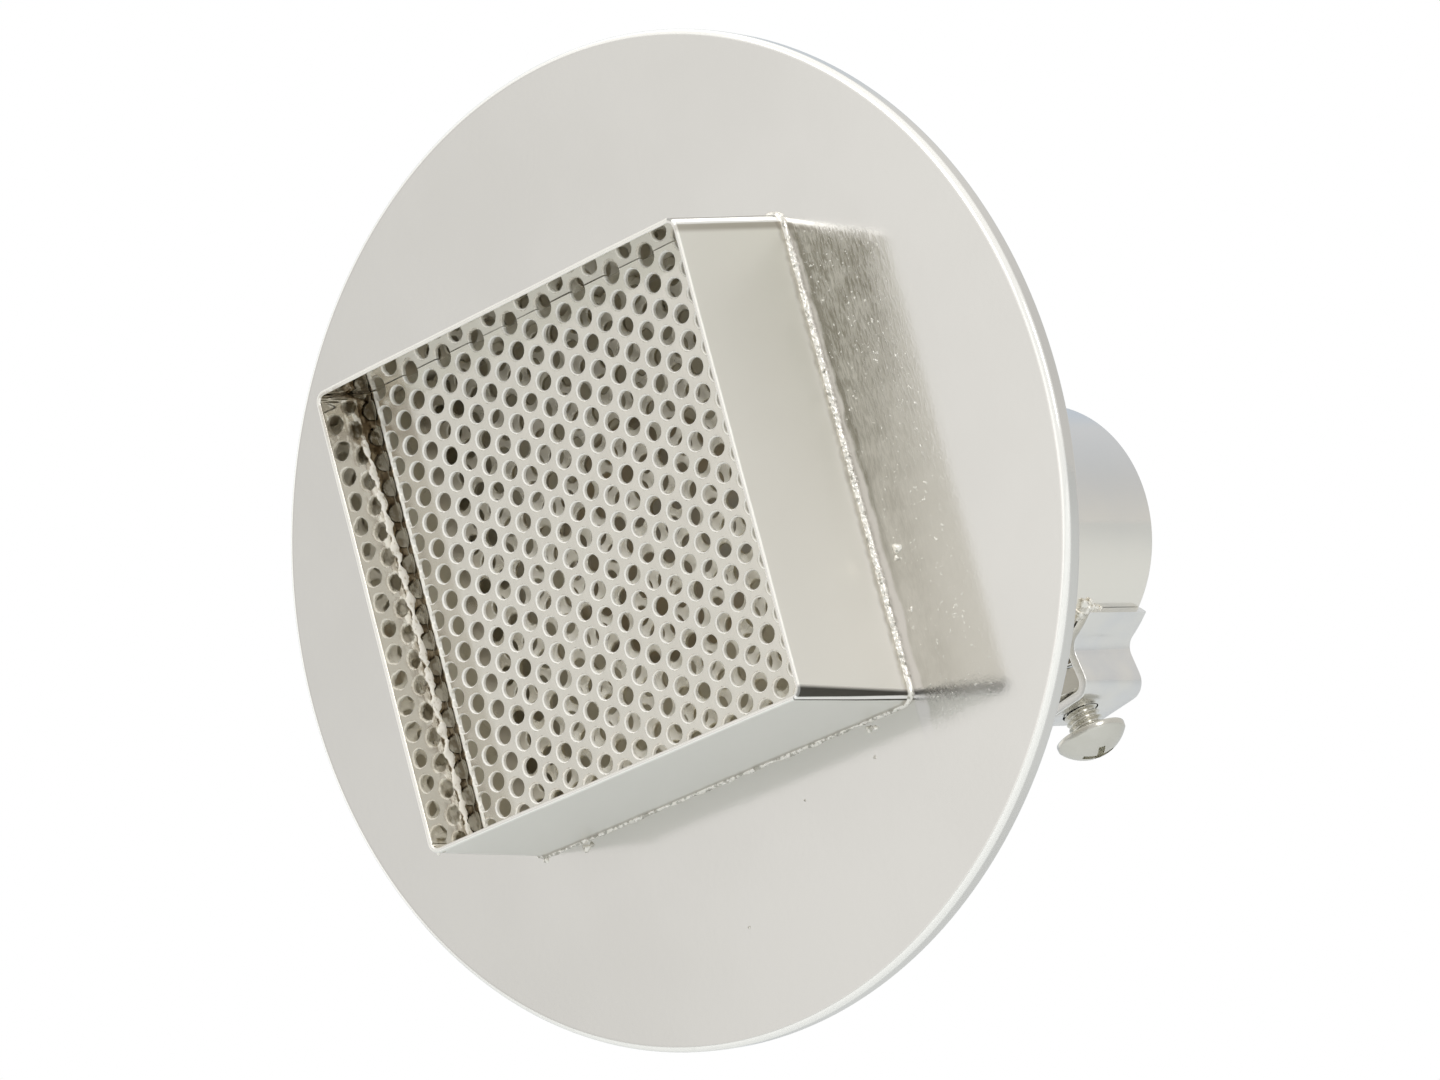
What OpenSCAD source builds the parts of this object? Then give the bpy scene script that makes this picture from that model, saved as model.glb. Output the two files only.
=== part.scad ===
// Hot air nozzle for soldering square chip packages.
// A round steel flange carries a folded sheet box with two perforated screens on
// its front, and a plain tube that slides over the heater pipe at its back.
// A strip bridge brazed under the tube holds a nut and the clamp screw.
// The tube lies along Y with its open end at +Y, the mouth faces -Y and Z is up.
// The origin is the centre of the tube's open end. Sizes are in millimetres.

/* [Flange] */
// Diameter of the round flange
flange_d = 80; // [66:0.5:110]
// Thickness of the flange
flange_t = 1.8; // [1.2:0.1:3]
// Rounding of the flange's outer edges
flange_edge_r = 0.5; // [0.1:0.05:0.55]
// Diameter of the air port through the flange
port_d = 20; // [14:0.5:21.5]

/* [Outlet box] */
// Outside width of the box where it meets the flange
base_w = 40; // [34:0.1:46]
// Outside height of the box where it meets the flange
base_h = 39.7; // [34:0.1:46]
// Outside width of the box at its mouth
mouth_w = 39.6; // [34:0.1:46]
// Outside height of the box at its mouth
mouth_h = 38.3; // [34:0.1:46]
// Depth of the box from the flange to the mouth
box_depth = 12.7; // [11.5:0.1:20]
// Thickness of the box's sheet
box_sheet = 0.4; // [0.3:0.05:0.6]
// Outside radius of the box's folds
fold_r = 1; // [0.7:0.1:2]

/* [Screens] */
// Thickness of the perforated sheet
screen_t = 0.4; // [0.3:0.05:0.8]
// Depth of the front screen behind the mouth
screen_recess = 5.3; // [4:0.1:7.5]
// Space between the two screens
screen_gap = 3; // [2:0.1:3.6]
// Gap between a screen's edge and the box
screen_clear = 0.05; // [0.02:0.01:0.1]
// Diameter of the screen holes
hole_d = 1.5; // [1.2:0.05:1.8]
// Distance between neighbouring holes of the front screen
front_pitch = 2.15; // [2:0.05:2.6]
// Distance between neighbouring holes of the rear screen
rear_pitch = 2.115; // [2:0.005:2.6]
// Width of the front screen's left margin, which is bent back to fit the box
margin_w = 1.2; // [0.6:0.1:1.8]
// Angle of that bend
margin_bend = 32; // [0:1:45]
// Width of the rear screen's left border, which has no holes
rear_border = 3.4; // [0:0.1:6]

/* [Inlet tube] */
// Diameter of the heater pipe that the tube slides over
pipe_d = 22; // [21.5:0.1:25]
// Play of the pipe in the tube, on the diameter
pipe_clear = 0.2; // [0.1:0.05:0.4]
// Wall of the tube
tube_wall = 0.4; // [0.3:0.05:1]
// Length of the tube behind the flange
tube_len = 48; // [30:0.2:70]

/* [Clamp bridge] */
// Lean of the clamp from straight down, towards +X
clamp_lean = 9.5; // [-45:0.5:45]
// Width of the bridge strip along the tube
bridge_w = 7.8; // [7:0.1:12]
// Thickness of the bridge strip
strip_t = 0.8; // [0.6:0.05:1]
// Film of braze between the strip and the tube
braze_film = 0.05; // [0.02:0.01:0.1]
// Angle from the clamp's middle to the end of a foot
foot_end = 33; // [28:0.5:45]
// Radius of the bend between foot and riser
valley_r = 1.4; // [0.6:0.1:1.6]
// Outside radius of the bend between riser and top
shoulder_r = 1.6; // [1.1:0.1:1.8]

/* [Nut and screw] */
// Width of the nut across its flats
nut_af = 5.5; // [5.4:0.05:6]
// Diameter of the nut's bearing faces
nut_face_d = 4.8; // [4.4:0.05:5.3]
// Height of the nut
nut_h = 2.4; // [1.8:0.1:3]
// Gap between the nut's flats and the bridge
nut_side_clear = 0.15; // [0.05:0.05:0.2]
// Gap between the nut and the tube
nut_under = 1.3; // [0.5:0.1:1.6]
// Diameter of the screw thread
screw_d = 3; // [2.5:0.1:3.2]
// Length of the screw under its head
screw_len = 6; // [5.8:0.1:6.6]
// Distance of the screw from the tube's open end
screw_along = 5; // [3.6:0.1:5.4]
// Running gap between screw and nut
thread_clear = 0.05; // [0.02:0.01:0.08]
// Gap between the screw and its holes in bridge and tube
screw_hole_clear = 0.2; // [0.1:0.05:0.4]
// How far the loosened head stands off the bridge
screw_out = 2; // [1.8:0.1:2.6]
// Diameter of the screw head
head_d = 6; // [5.4:0.1:6.6]
// Height of the screw head
head_h = 2.1; // [1.8:0.1:2.6]
// Radius of the head's domed top
dome_r = 3.6; // [3.4:0.1:5]
// Length of the cross recess on the head
recess_l = 2.8; // [2.6:0.1:3.8]
// Width of the recess wings
recess_w = 0.6; // [0.5:0.05:0.9]
// Depth of the cross recess
recess_depth = 1.2; // [0.8:0.1:1.4]
// Turn of the recess about the screw
recess_turn = 35; // [0:5:85]

/* [Braze] */
// Leg of the braze fillet round the box
box_bead = 0.6; // [0.3:0.05:1]
// Leg of the braze fillet round the tube
tube_bead = 0.8; // [0.4:0.05:1.2]
// Radius of the braze drops at the ends of the bridge
drop_r = 1; // [0.7:0.05:1.3]

/* [Hidden] */
$fn = 64;
plate_colour = [0.83, 0.82, 0.80];
screen_colour = [0.72, 0.70, 0.66];
braze_colour = [0.90, 0.89, 0.85];
screw_colour = [0.76, 0.75, 0.70];
// Cuts run past the faces that they open by this much
past = 1;

bore_r = (pipe_d + pipe_clear) / 2;
tube_r = bore_r + tube_wall;
flange_front = tube_len + flange_t;
mouth_z = flange_front + box_depth;
front_screen_z = mouth_z - screen_recess - screen_t;
rear_screen_z = front_screen_z - screen_gap - screen_t;

// Where the two sheets were cut from the perforated stock, as the place of one hole
front_hole = [0.82, -0.47];
rear_hole = [-0.56, -0.77];

cage_half = nut_af / 2 + nut_side_clear;
bridge_half = cage_half + strip_t;
foot_r = tube_r + braze_film;
valley_x = bridge_half + valley_r;
valley_y = sqrt(pow(foot_r + strip_t + valley_r, 2) - pow(valley_x, 2));
foot_start = atan2(valley_x, valley_y);
nut_seat = tube_r + nut_under + nut_h;
// Slope of the bevel on the nut's corners
nut_bevel = tan(30);
bend_r = shoulder_r - strip_t;
bend_x = bridge_half - shoulder_r;
// How far the bridge's inner bend lies under its top there, and so how far it keeps the nut down
function bend_depth(x) = x < bend_x ? 0 : bend_r - sqrt(pow(bend_r, 2) - pow(min(x - bend_x, bend_r), 2));
nut_drop = max(bend_depth(nut_face_d / 2), bend_depth(nut_af / 2) - nut_bevel * (nut_af - nut_face_d) / 2);
cage_top = nut_seat + nut_drop;
bridge_top = cage_top + strip_t;
shoulder_y = bridge_top - shoulder_r;
screw_hole_d = screw_d + 2 * screw_hole_clear;
head_seat = bridge_top + screw_out;

// Points of an arc in a drawing, with or without its first point
arc_steps = 10;
function arc(centre, r, from, to, first = 0) =
    [for (i = [first:arc_steps]) let (a = from + (to - from) * i / arc_steps) centre + r * [cos(a), sin(a)]];
function reversed(points) = [for (i = [len(points) - 1:-1:0]) points[i]];
function mirrored(points) = [for (p = points) [-p.x, p.y]];

// One face of the right half of the bridge strip, from the foot's end to the top,
// at a depth under the strip's outer face
function strip_face(depth) = concat(
    arc([0, 0], foot_r + strip_t - depth, 90 - foot_end, 90 - foot_start),
    arc([valley_x, valley_y], valley_r + depth, 270 - foot_start, 180, first = 1),
    arc([bridge_half - shoulder_r, shoulder_y], shoulder_r - depth, 0, 90));

// Stands the model's long axis, drawn along z with y up, into the part's frame
module along_tube() { rotate([90, 0, 0]) children(); }

// Turns the clamp, drawn pointing along +y, to its place under the tube
module at_clamp() { along_tube() rotate([0, 0, 180 + clamp_lean]) children(); }

// Puts a thing drawn along z onto the screw's axis, at a distance from the tube's axis
module on_screw_axis(from_axis) { translate([0, from_axis, screw_along]) rotate([-90, 0, 0]) children(); }

// Plain strip of the bridge, before its screw hole
module bridge_strip() {
    outer = strip_face(0);
    inner = strip_face(strip_t);
    linear_extrude(bridge_w)
        polygon(concat(outer, mirrored(reversed(outer)), mirrored(inner), reversed(inner)));
}

// Rectangle with round corners
module rounded_rect(w, h, r) {
    square([w - 2 * r, h], center = true);
    square([w, h - 2 * r], center = true);
    for (sx = [-1, 1], sy = [-1, 1]) translate([sx * (w / 2 - r), sy * (h / 2 - r)]) circle(r);
}

// Size of the box, from its base to its mouth, at a height over the flange
function box_taper(base, mouth, height) = 1 + (mouth / base - 1) * height / box_depth;
function box_inner_w(height) = (base_w - 2 * box_sheet) * box_taper(base_w, mouth_w, height);
function box_inner_h(height) = (base_h - 2 * box_sheet) * box_taper(base_h, mouth_h, height);

// Width and height of a screen that clears the box, with its back face at a height over the flange
function screen_w(height) = min(box_inner_w(height), box_inner_w(height + screen_t)) - 2 * screen_clear;
function screen_h(height) = min(box_inner_h(height), box_inner_h(height + screen_t)) - 2 * screen_clear;

// Centres of holes on a triangular grid whose columns run along y, where they reach a field of this size
function hole_centres(w, h, pitch, one_hole) =
    let (step = pitch * sin(60), columns = ceil(w / 2 / step) + 1, rows = ceil(h / 2 / pitch) + 1)
    [for (i = [-columns:columns], j = [-rows:rows])
        let (p = one_hole + [i * step, (j + (i % 2 == 0 ? 0 : 0.5)) * pitch])
        if (abs(p.x) < (w + hole_d) / 2 && abs(p.y) < (h + hole_d) / 2) p];

module holes_at(centres) { for (c = centres) translate(c) circle(d = hole_d); }

// Round steel plate with softened edges and the air port in its middle
module flange_plate() {
    rim = flange_d / 2;
    color(plate_colour) along_tube() translate([0, 0, tube_len]) rotate_extrude() {
        translate([port_d / 2, 0]) square([rim - flange_edge_r - port_d / 2, flange_t]);
        translate([rim - 2 * flange_edge_r, flange_edge_r])
            square([2 * flange_edge_r, flange_t - 2 * flange_edge_r]);
        for (z = [flange_edge_r, flange_t - flange_edge_r])
            translate([rim - flange_edge_r, z]) circle(flange_edge_r);
    }
}

// Folded sheet box, a little wider at the flange than at its mouth
module outlet_box() {
    color(plate_colour) along_tube() translate([0, 0, flange_front])
        linear_extrude(box_depth, scale = [mouth_w / base_w, mouth_h / base_h], slices = 1) difference() {
            rounded_rect(base_w, base_h, fold_r);
            rounded_rect(base_w - 2 * box_sheet, base_h - 2 * box_sheet, fold_r - box_sheet);
        }
}

// Screen seen in the mouth, cut a little wide and bent back along its left edge to fit
module front_screen() {
    w = screen_w(front_screen_z - flange_front);
    h = screen_h(front_screen_z - flange_front);
    fold_x = margin_w - w / 2;
    margin_end = [-w / 2, -margin_w * tan(margin_bend)];
    end_under = margin_end + screen_t * [sin(margin_bend), -cos(margin_bend)];
    fold_under = [fold_x + screen_t * tan(margin_bend / 2), -screen_t];
    centres = hole_centres(w + 2 * margin_w, h, front_pitch, front_hole);
    module punch(some) {
        translate([0, 0, -screen_t - past]) linear_extrude(screen_t + 2 * past) holes_at(some);
    }
    color(screen_colour) along_tube() translate([0, 0, front_screen_z + screen_t]) difference() {
        intersection() {
            rotate([90, 0, 0]) linear_extrude(h, center = true)
                polygon([[w / 2, 0], [fold_x, 0], margin_end, end_under, fold_under, [w / 2, -screen_t]]);
            translate([0, 0, -box_depth]) linear_extrude(2 * box_depth) rounded_rect(w, h, fold_r);
        }
        punch([for (c = centres) if (c.x >= fold_x) c]);
        translate([fold_x, 0, 0]) rotate([0, -margin_bend, 0]) translate([-fold_x, 0, 0])
            punch([for (c = centres) if (c.x < fold_x) c]);
    }
}

// Second screen behind the first, its rows of holes turned a quarter turn
module rear_screen() {
    w = screen_w(rear_screen_z - flange_front);
    h = screen_h(rear_screen_z - flange_front);
    first_x = rear_border + hole_d / 2 - w / 2;
    centres = [for (c = hole_centres(h, w, rear_pitch, rear_hole)) [-c.y, c.x]];
    color(screen_colour) along_tube() translate([0, 0, rear_screen_z]) linear_extrude(screen_t) difference() {
        rounded_rect(w, h, fold_r);
        holes_at([for (c = centres) if (c.x > first_x) c]);
    }
}

// Plain tube butted against the flange, with a hole for the screw's tip
module inlet_tube() {
    color(plate_colour) difference() {
        along_tube() difference() {
            cylinder(r = tube_r, h = tube_len);
            translate([0, 0, -past]) cylinder(r = bore_r, h = tube_len + 2 * past);
        }
        at_clamp() on_screw_axis(bore_r - past) cylinder(d = screw_hole_d, h = tube_wall + 2 * past);
    }
}

// Strip bent to a bridge over the nut, its two feet following the tube
module clamp_bridge() {
    color(plate_colour) at_clamp() difference() {
        bridge_strip();
        on_screw_axis(cage_top - past) cylinder(d = screw_hole_d, h = strip_t + 2 * past);
    }
}

// Hexagon nut held from turning by the bridge's risers
module clamp_nut() {
    corner_r = nut_af / 2 / cos(30);
    face_r = nut_face_d / 2;
    bevel = (corner_r - face_r) * nut_bevel;
    color(screw_colour) at_clamp() on_screw_axis(nut_seat - nut_h) difference() {
        intersection() {
            rotate([0, 0, 30]) cylinder(r = corner_r, h = nut_h, $fn = 6);
            rotate_extrude() polygon([[0, 0], [face_r, 0], [corner_r, bevel], [corner_r, nut_h - bevel],
                                      [face_r, nut_h], [0, nut_h]]);
        }
        translate([0, 0, -past]) cylinder(d = screw_d + 2 * thread_clear, h = nut_h + 2 * past);
    }
}

// Pan head screw with a cross recess, loosened so that its head stands off the bridge
module clamp_screw() {
    tip_bevel = screw_d / 6;
    color(screw_colour) at_clamp() on_screw_axis(head_seat) difference() {
        union() {
            intersection() {
                cylinder(d = head_d, h = head_h);
                translate([0, 0, head_h - dome_r]) sphere(dome_r);
            }
            rotate_extrude() polygon([[0, -screw_len], [screw_d / 2 - tip_bevel, -screw_len],
                                      [screw_d / 2, -screw_len + tip_bevel], [screw_d / 2, 0], [0, 0]]);
        }
        for (turn = [0, 90]) rotate([90, 0, recess_turn + turn]) linear_extrude(recess_w, center = true)
            polygon([[-recess_l / 2, head_h + past], [-recess_l / 2, head_h - recess_depth / 2],
                     [-recess_w / 2, head_h - recess_depth], [recess_w / 2, head_h - recess_depth],
                     [recess_l / 2, head_h - recess_depth / 2], [recess_l / 2, head_h + past]]);
    }
}

// Section of a braze fillet in the corner between a flat face and a wall that leans out by a slope
module fillet_section(leg, lean = 0) { polygon([[0, 0], [leg, 0], [lean * leg, leg]]); }

// Braze fillet in the corner between box and flange
module box_braze() {
    straight_x = base_w / 2 - fold_r;
    straight_y = base_h / 2 - fold_r;
    lean_x = (mouth_w - base_w) / 2 / box_depth;
    lean_y = (mouth_h - base_h) / 2 / box_depth;
    steepest = max(lean_x, lean_y);
    corner_lean = steepest > 0 ? norm([max(lean_x, 0), max(lean_y, 0)]) : steepest;
    color(braze_colour) along_tube() translate([0, 0, flange_front]) {
        for (turn = [0, 180]) rotate([0, 0, turn]) {
            translate([base_w / 2, straight_y, 0]) rotate([90, 0, 0])
                linear_extrude(2 * straight_y) fillet_section(box_bead, lean_x);
            translate([-straight_x, base_h / 2, 0]) rotate([90, 0, 90])
                linear_extrude(2 * straight_x) fillet_section(box_bead, lean_y);
        }
        for (sx = [0, 1], sy = [0, 1])
            mirror([sx, 0, 0]) mirror([0, sy, 0]) translate([straight_x, straight_y])
                rotate_extrude(angle = 90) translate([fold_r, 0]) fillet_section(box_bead, corner_lean);
    }
}

// Braze fillet in the corner between tube and flange
module tube_braze() {
    color(braze_colour) along_tube() translate([0, 0, tube_len]) mirror([0, 0, 1])
        rotate_extrude() translate([tube_r, 0]) fillet_section(tube_bead);
}

// Drop of braze against the end of each foot, at its front corner
module bridge_braze() {
    color(braze_colour) at_clamp() for (side = [0, 1]) mirror([side, 0, 0]) difference() {
        rotate([0, 0, -foot_end]) difference() {
            translate([0, foot_r, bridge_w]) sphere(drop_r);
            translate([-2 * drop_r, 0, 0]) cube([2 * drop_r, bridge_top, bridge_w + 2 * drop_r]);
        }
        translate([0, 0, -past]) cylinder(r = tube_r, h = bridge_w + drop_r + 2 * past);
    }
}

flange_plate();
outlet_box();
front_screen();
rear_screen();
inlet_tube();
clamp_bridge();
clamp_nut();
clamp_screw();
box_braze();
tube_braze();
bridge_braze();
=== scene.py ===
"""Hot air nozzle with a square screened mouth, dressed piece by piece as it is put together."""

import bmesh
import bpy
import numpy as np
from mathutils import Matrix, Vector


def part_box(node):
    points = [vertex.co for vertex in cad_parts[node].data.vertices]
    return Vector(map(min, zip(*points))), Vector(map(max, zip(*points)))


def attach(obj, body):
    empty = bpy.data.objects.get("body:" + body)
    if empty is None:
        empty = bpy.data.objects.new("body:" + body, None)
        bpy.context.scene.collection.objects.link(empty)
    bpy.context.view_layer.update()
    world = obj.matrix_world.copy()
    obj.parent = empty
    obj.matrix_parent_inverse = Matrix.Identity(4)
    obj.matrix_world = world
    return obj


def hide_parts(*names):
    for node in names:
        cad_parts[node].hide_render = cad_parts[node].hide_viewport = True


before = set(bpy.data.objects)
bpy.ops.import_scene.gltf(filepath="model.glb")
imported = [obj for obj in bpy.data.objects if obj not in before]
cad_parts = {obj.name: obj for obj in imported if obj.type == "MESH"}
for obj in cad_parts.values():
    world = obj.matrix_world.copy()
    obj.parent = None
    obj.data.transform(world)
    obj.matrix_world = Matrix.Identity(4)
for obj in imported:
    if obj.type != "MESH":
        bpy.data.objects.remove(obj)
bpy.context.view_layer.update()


# Flange: a round plate of 1.8 mm steel, stamped with soft edges and plated with satin nickel. The box is
# brazed to its front and the tube to its back, over a port in its middle that lets the air through. The
# flame has stained it beside the box's right wall, and that stain also carries a painted reflection of the
# wall.
port_r, port_edge_r = 10.0, 0.2
plate_edge_r = 0.5
plate_columns = 256
by_edge = 0.1
box_half = 20.0
inside_half_w, inside_half_h = 19.6, 19.4
stain_and_reflection_slope = 0.42
plate_colour = (0.77, 0.755, 0.725, 1)
plate_cloud_colour = (0.795, 0.78, 0.75, 1)
stain_and_reflection_colour = (0.33, 0.315, 0.275, 1)
film_colour = (0.80, 0.78, 0.775, 1)
fleck_colour = (0.93, 0.92, 0.88, 1)
rim_highlight_colour = (1.0, 0.985, 0.945, 1)
plate_inside_colour = (0.71, 0.655, 0.52, 1)


def span(node):
    """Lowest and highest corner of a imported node, in millimetres."""
    low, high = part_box(node)
    return np.array(low) * 1000, np.array(high) * 1000


def arc(centre, radius, start, end, steps):
    """Points on a circle round a centre, from one angle to another in degrees. Where the radius is an array,
    each angle has an array of points."""
    angle = np.radians(np.linspace(start, end, steps + 1))
    way = np.stack([np.cos(angle), np.sin(angle)], 1)
    return np.asarray(centre) + np.moveaxis(np.multiply.outer(way, radius), 1, -1)


def mirrored(half, flip, shift=(0, 0)):
    """A line of points, and then the way back along its mirror image."""
    return np.concatenate([half, np.asarray(shift) + half[::-1] * flip])


def revolve(profile, columns):
    """Carries a profile of (radius, distance along the tube) round the tube's axis: x and z are the radius
    times the cosine and sine of the turn, and y is minus the distance."""
    turn = np.linspace(0, 2 * np.pi, columns, endpoint=False)
    radius, along = np.asarray(profile, float).T[:, :, None]
    flat = np.broadcast_to(-along, (len(profile), columns))
    return np.stack([radius * np.cos(turn), flat, radius * np.sin(turn)], 2)


def make_piece(name, *grids, closed=False, sharp=40):
    """Joins grids of points, in millimetres, into one smooth closed mesh in metres. Neighbours on a grid
    share a face, the last column is next to the first, and where closed is set so is the last row."""
    points, faces, first = [], [], 0
    for grid in grids:
        index = first + np.arange(grid.shape[0] * grid.shape[1]).reshape(grid.shape[:2])
        first += index.size
        index = np.pad(index, ((0, int(closed)), (0, 1)), "wrap")
        corners = [index[:-1, :-1], index[1:, :-1], index[1:, 1:], index[:-1, 1:]]
        faces.append(np.stack(corners, -1).reshape(-1, 4))
        points.append(grid.reshape(-1, 3))
    mesh = bpy.data.meshes.new(name)
    mesh.from_pydata(np.concatenate(points) / 1000, [], np.concatenate(faces).tolist())
    return close_mesh(name, mesh, sharp)


def close_mesh(name, mesh, sharp):
    """Merges the points that lie on each other, turns the faces outwards and shades the mesh smooth up to a
    sharp angle in degrees; gives the new object."""
    work = bmesh.new()
    work.from_mesh(mesh)
    bmesh.ops.remove_doubles(work, verts=work.verts, dist=2e-7)
    bmesh.ops.recalc_face_normals(work, faces=work.faces)
    work.to_mesh(mesh)
    work.free()
    mesh.shade_smooth()
    mesh.set_sharp_from_angle(angle=np.radians(sharp))
    piece = bpy.data.objects.new(name, mesh)
    bpy.context.scene.collection.objects.link(piece)
    return piece


class Socket:
    """A socket of a node tree. Arithmetic on it adds Math nodes, and add() adds any other node."""

    def __init__(self, tree, socket=None):
        self.tree = tree
        self.socket = socket

    def add(self, kind, settings=(), sockets=(), out=0):
        """Adds a node of a type, with its settings and then the values or links of its sockets."""
        node = self.tree.nodes.new(kind)
        for name, value in dict(settings).items():
            setattr(node, name, value)
        for name, value in dict(sockets).items():
            if isinstance(value, Socket):
                self.tree.links.new(value.socket, node.inputs[name])
            else:
                node.inputs[name].default_value = value
        return Socket(self.tree, node.outputs[out])

    def to(self, socket):
        self.tree.links.new(self.socket, socket)

    def math(self, operation, *values):
        return self.add("ShaderNodeMath", {"operation": operation}, enumerate(values))

    def __add__(self, other):
        return self.math("ADD", self, other)

    def __mul__(self, other):
        return self.math("MULTIPLY", self, other)

    __radd__, __rmul__ = __add__, __mul__

    def __sub__(self, other):
        return self.math("SUBTRACT", self, other)

    def __rsub__(self, other):
        return self.math("SUBTRACT", other, self)

    def __abs__(self):
        return self.math("ABSOLUTE", self)

    def larger(self, other):
        return self.math("MAXIMUM", self, other)

    def hypot(self, other):
        return self.math("SQRT", self * self + other * other)

    def ramp(self, start, end):
        """0 up to start, 1 from end on, and a smooth step between them."""
        sockets = {"Value": self, "From Min": start, "From Max": end, "To Min": 0.0, "To Max": 1.0}
        return self.add("ShaderNodeMapRange", {"interpolation_type": "SMOOTHSTEP"}, sockets)

    def ramp_mm(self, start, end):
        """The same step over a distance in metres, with its start and end in millimetres."""
        return self.ramp(start / 1000, end / 1000)

    def band(self, start, full, fade, end):
        """0 up to start and from end on, and 1 from full to fade."""
        return self.ramp(start, full) * (1 - self.ramp(fade, end))

    def mix(self, without, with_it):
        """The first colour where the socket is 0, the second where it is 1."""
        return self.add("ShaderNodeMix", {"data_type": "RGBA"}, {0: self, 6: without, 7: with_it}, out=2)

    def noise(self, scale, detail=2.0):
        """Cloudy noise on a place in metres; scale is in patches per metre."""
        return self.add("ShaderNodeTexNoise", (), {"Vector": self, "Scale": scale, "Detail": detail})

    def mapped(self, scale, rotation=(0, 0, 0)):
        """The place scaled along each axis, then turned about them, in radians."""
        return self.add("ShaderNodeMapping", (), {"Vector": self, "Rotation": rotation, "Scale": scale})

    def axis(self, name):
        return self.add("ShaderNodeSeparateXYZ", (), {"Vector": self}, out=name)

    def bump(self, strength, rise):
        """The normal of a face that the socket raises, where 1 is a rise in millimetres."""
        return self.add("ShaderNodeBump", (), {"Strength": strength, "Distance": rise / 1000, "Height": self})


def new_metal(name):
    """A new metal finish: its material, its shader and the place on the piece in metres."""
    material = bpy.data.materials.new(name)
    material.use_nodes = True
    shader = material.node_tree.nodes["Principled BSDF"]
    shader.inputs["Metallic"].default_value = 1.0
    place = Socket(material.node_tree).add("ShaderNodeTexCoord", out="Object")
    return material, shader.inputs, place


# The back mirrors the front. Rows beside the rounded edges keep the flat faces flat in the shading.
low, high = span("flange_plate")
plate_r, plate_back, plate_front = high[0], -high[1], -low[1]
plate_rim = plate_r - plate_edge_r
port_rim = port_r + port_edge_r
plate_profile = np.concatenate([
    arc((port_rim, plate_front - port_edge_r), port_edge_r, 180, 90, 4),
    [[port_rim + by_edge, plate_front], [plate_rim - by_edge, plate_front]],
    arc((plate_rim, plate_front - plate_edge_r), plate_edge_r, 90, 0, 8),
    [[plate_r, plate_front - plate_edge_r - by_edge / 2]]])
plate_profile = mirrored(plate_profile, (1, -1), (0, plate_back + plate_front))
flange = make_piece("flange", revolve(plate_profile, plate_columns), closed=True)

plate_metal, shader, place = new_metal("satin nickel plate")
across, along, height = place.axis("X"), place.axis("Y"), place.axis("Z")
cloud = place.noise(90.0, 3.0)
front_side = 1 - along.ramp_mm(0.1 - plate_front, 0.3 - plate_front)

# The stain, part heat stain and part painted reflection of the right wall, runs from the wall to a ragged
# edge on the right, and its top slopes down that way.
from_wall = across - box_half / 1000
ragged = from_wall + (cloud - 0.5) * 0.003
beside = from_wall.ramp_mm(0, 0.3) * (1 - ragged.ramp_mm(6.0, 9.5))
beside = beside * (1 - (height + from_wall * stain_and_reflection_slope).ramp_mm(17.2, 19.2))
beside = beside * height.ramp_mm(-23.5, -20.5) * front_side

# Close to the wall it is covered by a pale film, whose wavering edge is a dark line.
film_way = from_wall + (place.noise(420.0, 4.0) - 0.5) * 0.0010 + height.ramp_mm(-18, 18) * 0.0004
film = beside * (1 - film_way.ramp_mm(1.1, 1.4))
film_line = beside * film_way.ramp_mm(1.0, 1.3) * (1 - film_way.ramp_mm(1.4, 2.0)) * height.ramp_mm(-22, 4)

# Higher up it is darker, with slanting streaks and more bright flecks; lower down it fades to the right.
upper = height.ramp_mm(-14, 17)
slanted = place.mapped((5.0, 1.0, 0.9), (0, 0.7, 0))
mottle = place.noise(520.0, 8.0).ramp(0.34, 0.66)
wrinkle = slanted.noise(420.0, 5.0).ramp(0.42, 0.70)
streak = slanted.noise(1500.0, 3.0).ramp(0.40, 0.60)
stain_and_reflection = 0.26 + upper * 0.58 + (mottle - 0.5) * (0.14 + upper * 0.20) + (wrinkle - 0.5) * upper * 0.25
stain_and_reflection = stain_and_reflection + (streak - 0.5) * (0.06 + upper * 0.40)
faded = 1 - from_wall.ramp_mm(2.5, 7.0) * (1 - upper) * 0.95
stain_and_reflection = beside * (1 - film) * stain_and_reflection * faded + film_line * 0.45
fleck = place.noise(3400.0).ramp(0.67, 0.73) * beside * (1 - film) * (0.4 + upper * 0.6)

# The rim's edge is painted near white and dull as a highlight, and the plate inside the box is tinted by the
# heat.
rim_painted_highlight = across.hypot(height).ramp_mm(plate_rim, plate_rim + 0.12)
rim_painted_highlight = rim_painted_highlight * (1 - along.ramp_mm(0.3 - plate_front, 0.5 - plate_front))
in_box = (abs(across) - inside_half_w / 1000).larger(abs(height) - inside_half_h / 1000)
in_box = (1 - in_box.ramp_mm(-0.2, 0.2)) * front_side
plain = (cloud * 0.5 + place.noise(35.0) * 0.5).ramp(0.38, 0.62).mix(plate_colour, plate_cloud_colour)
plain = fleck.mix(stain_and_reflection.mix(film.mix(plain, film_colour), stain_and_reflection_colour), fleck_colour)
in_box.mix(rim_painted_highlight.mix(plain, rim_highlight_colour), plate_inside_colour).to(shader["Base Color"])
(1 - in_box * 0.7 - rim_painted_highlight * 0.6).to(shader["Metallic"])
(0.10 + cloud * 0.04 + beside * 0.05 + in_box * 0.4).to(shader["Roughness"])
peel = (place.noise(2100.0) * 0.22 + place.noise(5200.0) * 0.08) * (0.35 + beside * 0.65)
relief = peel + fleck * 0.8 + (wrinkle + streak) * stain_and_reflection * 0.3 + film_line * 0.6
relief.bump(1.0, 0.03).to(shader["Normal"])
flange.data.materials.append(plate_metal)
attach(flange, "nozzle")
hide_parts("flange_plate")


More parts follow.
